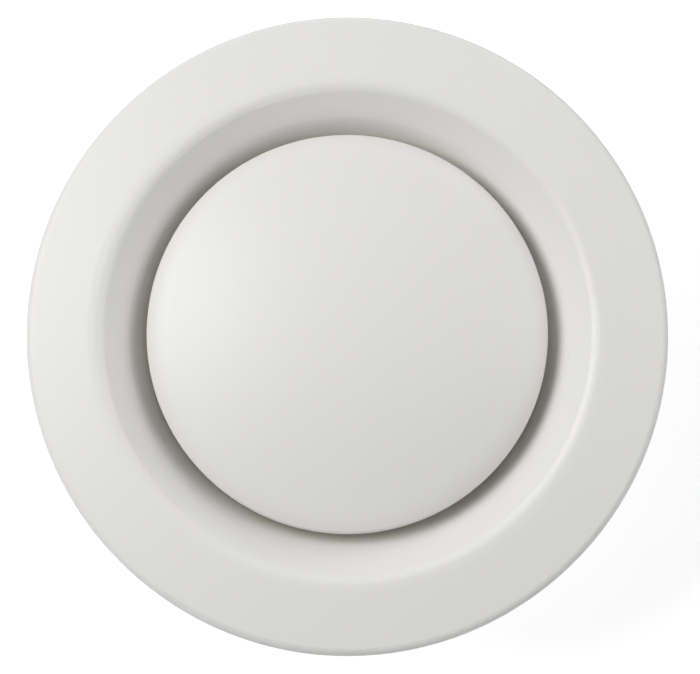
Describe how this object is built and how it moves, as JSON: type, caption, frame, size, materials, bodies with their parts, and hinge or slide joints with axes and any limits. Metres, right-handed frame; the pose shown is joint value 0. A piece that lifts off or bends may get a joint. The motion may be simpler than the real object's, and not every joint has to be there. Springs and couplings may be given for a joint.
{
  "type": "disc valve",
  "caption": "Round white extract-air disc valve: a dished face ring around a domed disc that screws in and out, on a bayonet mounting frame for a duct.",
  "frame": {"origin": "where the valve's axis crosses the plane of the wall, which is the back face of the mounting frame's flange", "axes": "+Z along the valve's axis, out of the face and into the room; +X along one arm of the bridge, to the right in the picture; +Y up in the picture"},
  "size_m": [0.15, 0.15, 0.0661],
  "materials": {
    "white_paint": "satin powder coat",
    "zinc": "bright zinc plated",
    "galvanised": "galvanised",
    "foam": "matt foam"
  },
  "bodies": {
    "frame": {"mounting_frame": "galvanised"},
    "ring": {"valve_ring": "white_paint", "ring_gasket": "foam", "bridge": "white_paint", "weld_nut": "zinc", "lock_nut": "zinc"},
    "washer": {"lock_washer": "zinc"},
    "disc": {"valve_disc": "white_paint", "disc_hub": "white_paint", "spindle": "zinc", "hub_nut": "zinc", "stop_nut": "zinc"}
  },
  "joints": [
    {"name": "bayonet_turn", "type": "hinge", "parent": "frame", "child": "ring", "pos_m": [0, 0, 0], "axis": [0, 0, 1], "range_deg": [0, 22]},
    {"name": "disc_turn", "type": "hinge", "parent": "ring", "child": "washer", "pos_m": [0, 0, 0], "axis": [0, 0, 1], "range_deg": [-1843, 2591]},
    {"name": "disc_travel", "type": "slide", "parent": "washer", "child": "disc", "axis": [0, 0, 1], "range_m": [-0.0064, 0.009]}
  ],
  "couplings": [
    {"joint": "disc_travel", "follows": "disc_turn", "m_per_rad": 0.00019894}
  ]
}
